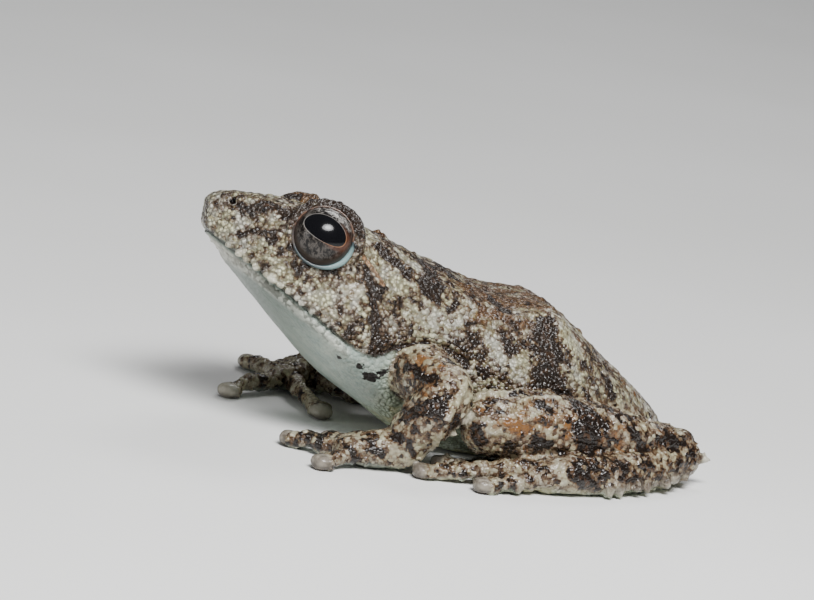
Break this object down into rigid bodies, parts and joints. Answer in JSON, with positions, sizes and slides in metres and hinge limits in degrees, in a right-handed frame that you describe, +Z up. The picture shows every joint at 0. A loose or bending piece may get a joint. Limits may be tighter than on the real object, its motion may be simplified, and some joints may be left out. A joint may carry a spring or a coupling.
{
  "type": "elegant shrub frog",
  "caption": "Small shrub frog sitting low on bent legs, head raised, with large round eyes, long toes with discs, and warty lips and heels.",
  "frame": {"origin": "middle of the frog's box, on the floor it sits on", "axes": "+Z up from the floor, the head points along -X, the frog's left side faces -Y"},
  "size_m": [0.0246, 0.021, 0.0115],
  "materials": {
    "mottled_skin": "moist granular skin, pale grey mottled with dark brown and rust",
    "throat_skin": "smooth moist skin, pale blue-grey with a few dark spots",
    "eye": "wet glossy eye, silver-grey iris with a black horizontal pupil"
  },
  "bodies": {
    "root": {"trunk": "mottled_skin", "head": "mottled_skin", "lower_jaw": "throat_skin", "eye_left": "eye", "eye_right": "eye", "upper_arm_left": "mottled_skin", "upper_arm_right": "mottled_skin", "forearm_left": "mottled_skin", "forearm_right": "mottled_skin", "hand_left": "mottled_skin", "hand_right": "mottled_skin", "thigh_left": "mottled_skin", "thigh_right": "mottled_skin", "shank_left": "mottled_skin", "shank_right": "mottled_skin", "tarsus_left": "mottled_skin", "tarsus_right": "mottled_skin", "foot_left": "mottled_skin", "foot_right": "mottled_skin"}
  },
  "joints": []
}
